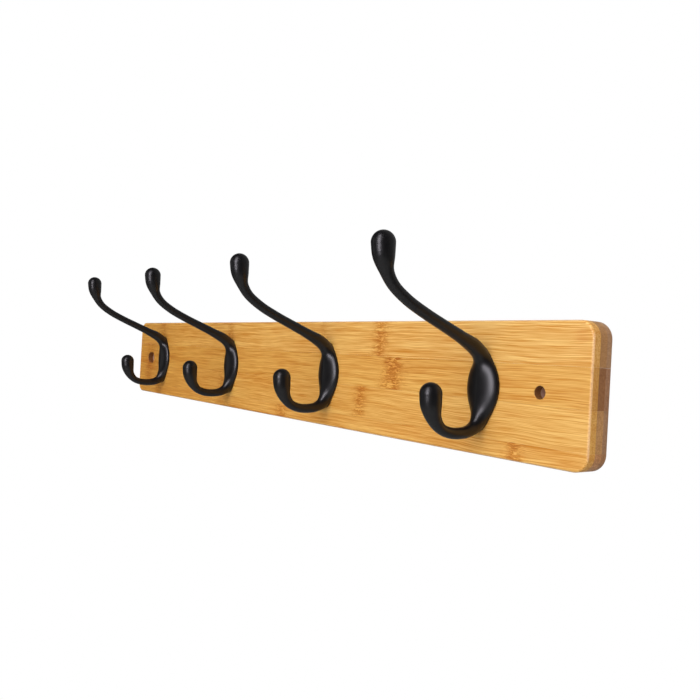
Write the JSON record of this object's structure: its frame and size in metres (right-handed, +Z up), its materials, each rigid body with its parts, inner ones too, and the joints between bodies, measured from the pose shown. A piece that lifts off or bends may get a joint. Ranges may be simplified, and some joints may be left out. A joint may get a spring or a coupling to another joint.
{
  "type": "wall hook rack",
  "caption": "Wall-mounted coat rack: a long laminated bamboo board with rounded corners, carrying black double coat hooks in a row.",
  "frame": {"origin": "middle of the board's back face, which rests on the wall", "axes": "+X along the board to the right seen from the front, +Y into the wall, +Z up"},
  "size_m": [0.55, 0.0927, 0.1066],
  "materials": {
    "bamboo_front": "satin lacquered golden bamboo, fine lengthwise fibres",
    "bamboo_core": "satin lacquered brown bamboo",
    "bamboo_back": "satin lacquered brown bamboo",
    "black_coat": "satin black coating on die-cast metal",
    "zinc_screw": "bright zinc plating"
  },
  "bodies": {
    "root": {"front_ply_strip_1": "bamboo_front", "front_ply_strip_2": "bamboo_front", "front_ply_strip_3": "bamboo_front", "front_ply_strip_4": "bamboo_front", "core_ply_strip_1": "bamboo_core", "core_ply_strip_2": "bamboo_core", "core_ply_strip_3": "bamboo_core", "core_ply_strip_4": "bamboo_core", "back_ply_strip_1": "bamboo_back", "back_ply_strip_2": "bamboo_back", "back_ply_strip_3": "bamboo_back", "back_ply_strip_4": "bamboo_back", "hook_1": "black_coat", "hook_2": "black_coat", "hook_3": "black_coat", "hook_4": "black_coat", "hook_1_upper_screw": "zinc_screw", "hook_1_lower_screw": "zinc_screw", "hook_2_upper_screw": "zinc_screw", "hook_2_lower_screw": "zinc_screw", "hook_3_upper_screw": "zinc_screw", "hook_3_lower_screw": "zinc_screw", "hook_4_upper_screw": "zinc_screw", "hook_4_lower_screw": "zinc_screw"}
  },
  "joints": []
}
